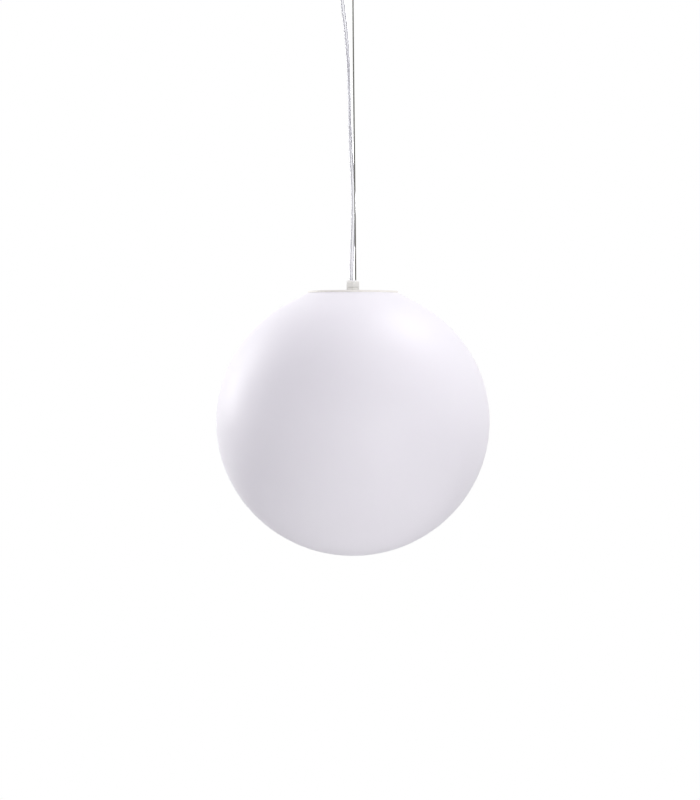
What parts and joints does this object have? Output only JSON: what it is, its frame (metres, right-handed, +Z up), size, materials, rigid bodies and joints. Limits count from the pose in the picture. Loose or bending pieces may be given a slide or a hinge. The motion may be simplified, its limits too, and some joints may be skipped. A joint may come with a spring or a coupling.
{
  "type": "outdoor pendant light",
  "caption": "Unlit opal globe pendant light: shouldered plastic ball closed by a cream cap, hung on a thin steel wire beside a clear cable from a small white ceiling canopy.",
  "frame": {"origin": "centre of the ceiling bracket's top face, where the light meets the ceiling", "axes": "+Z up through the suspension point, the lamp hangs along -Z; +X runs along the bracket, to the right in the picture; the picture looks along +Y"},
  "size_m": [0.4, 0.4, 0.8774],
  "materials": {
    "opal_polyethylene": "satin, moulded, unlit opal white",
    "cream_cap": "satin moulded cream",
    "white_nylon": "satin moulded white",
    "canopy_white": "satin powder coat, white",
    "black_rubber": "matt moulded black",
    "clear_pvc": "glossy clear sheath",
    "steel_wire": "stranded galvanised steel",
    "zinc_steel": "bright zinc plated",
    "nickel_brass": "nickel plated, turned",
    "plain_brass": "turned brass",
    "holder_white": "satin moulded white",
    "porcelain": "unglazed porcelain",
    "bulb_opal": "satin opal",
    "bulb_white": "semi-gloss white",
    "bulb_cap_metal": "rolled thread, bright",
    "black_glass": "glossy black insulator glass",
    "solder": "solder pip",
    "core_clear": "tinned strands in clear insulation",
    "core_ribbed": "tinned strands in ribbed clear insulation"
  },
  "bodies": {
    "root": {"ceiling_bracket": "zinc_steel", "bracket_stud": "zinc_steel", "stud_nut": "zinc_steel", "canopy": "canopy_white", "canopy_seal": "black_rubber", "wire_holder": "nickel_brass", "cable_grommet": "black_rubber", "cord_stop": "white_nylon", "stop_screw": "zinc_steel", "terminal_block": "white_nylon", "terminal_screws": "plain_brass", "cable_stub": "clear_pvc", "ceiling_core_live": "core_clear", "ceiling_core_neutral": "core_ribbed"},
    "ball": {"wire_ball": "zinc_steel"},
    "suspension": {"suspension_wire": "steel_wire", "supply_cable": "clear_pvc"},
    "lamp": {"gland_washer": "black_rubber", "gland_body": "white_nylon", "gland_seal": "black_rubber", "gland_locknut": "white_nylon", "wire_bridge": "zinc_steel", "wire_stop": "steel_wire", "cap_plate": "cream_cap", "cap_screws": "zinc_steel", "holder_strap": "zinc_steel", "strap_screws": "zinc_steel", "holder_nipple": "plain_brass", "nipple_nut": "plain_brass", "holder_cap": "holder_white", "holder_body": "holder_white", "holder_core": "porcelain", "screw_shell": "plain_brass", "centre_contact": "plain_brass", "holder_terminals": "plain_brass", "inner_cable": "clear_pvc", "holder_core_live": "core_clear", "holder_core_neutral": "core_ribbed"},
    "gland_ring": {"gland_slip_ring": "plain_brass"},
    "gland_nut": {"gland_nut": "white_nylon"},
    "globe": {"globe": "opal_polyethylene", "globe_inserts": "plain_brass", "neck_gasket": "black_rubber"},
    "bulb_base": {"bulb_contact": "solder"},
    "bulb": {"bulb_insulator": "black_glass", "bulb_screw_cap": "bulb_cap_metal", "bulb_body": "bulb_white", "bulb_envelope": "bulb_opal"}
  },
  "joints": [
    {"name": "swing_front", "type": "hinge", "parent": "root", "child": "ball", "pos_m": [0, 0, -0.039], "axis": [1, 0, 0], "range_deg": [-8, 8], "deforming": ["supply_cable"]},
    {"name": "swing_side", "type": "hinge", "parent": "ball", "child": "suspension", "pos_m": [0, 0, -0.039], "axis": [0, 1, 0], "range_deg": [-8, 8], "deforming": ["suspension_wire"]},
    {"name": "lamp_turn", "type": "hinge", "parent": "suspension", "child": "lamp", "pos_m": [0, 0, -0.4746], "axis": [0, 0, 1], "range_deg": [-180, 180], "stiffness_Nm_per_rad": 0.04, "deforming": ["supply_cable", "suspension_wire"]},
    {"name": "gland_nut_travel", "type": "slide", "parent": "lamp", "child": "gland_ring", "axis": [0, 0, 1], "range_m": [0, 0.0046]},
    {"name": "gland_nut_turn", "type": "hinge", "parent": "gland_ring", "child": "gland_nut", "pos_m": [0, 0, -0.48], "axis": [0, 0, 1], "range_deg": [0, 1080]},
    {"name": "globe_drop", "type": "slide", "parent": "lamp", "child": "globe", "axis": [0, 0, -1], "range_m": [0, 0.19]},
    {"name": "bulb_travel", "type": "slide", "parent": "lamp", "child": "bulb_base", "axis": [0, 0, -1], "range_m": [0, 0.011]},
    {"name": "bulb_turn", "type": "hinge", "parent": "bulb_base", "child": "bulb", "pos_m": [0, 0, -0.58], "axis": [0, 0, -1], "range_deg": [0, 1080]}
  ],
  "couplings": [
    {"joint": "gland_nut_travel", "follows": "gland_nut_turn", "m_per_rad": 0.00023873},
    {"joint": "bulb_travel", "follows": "bulb_turn", "m_per_rad": 0.00057757}
  ]
}
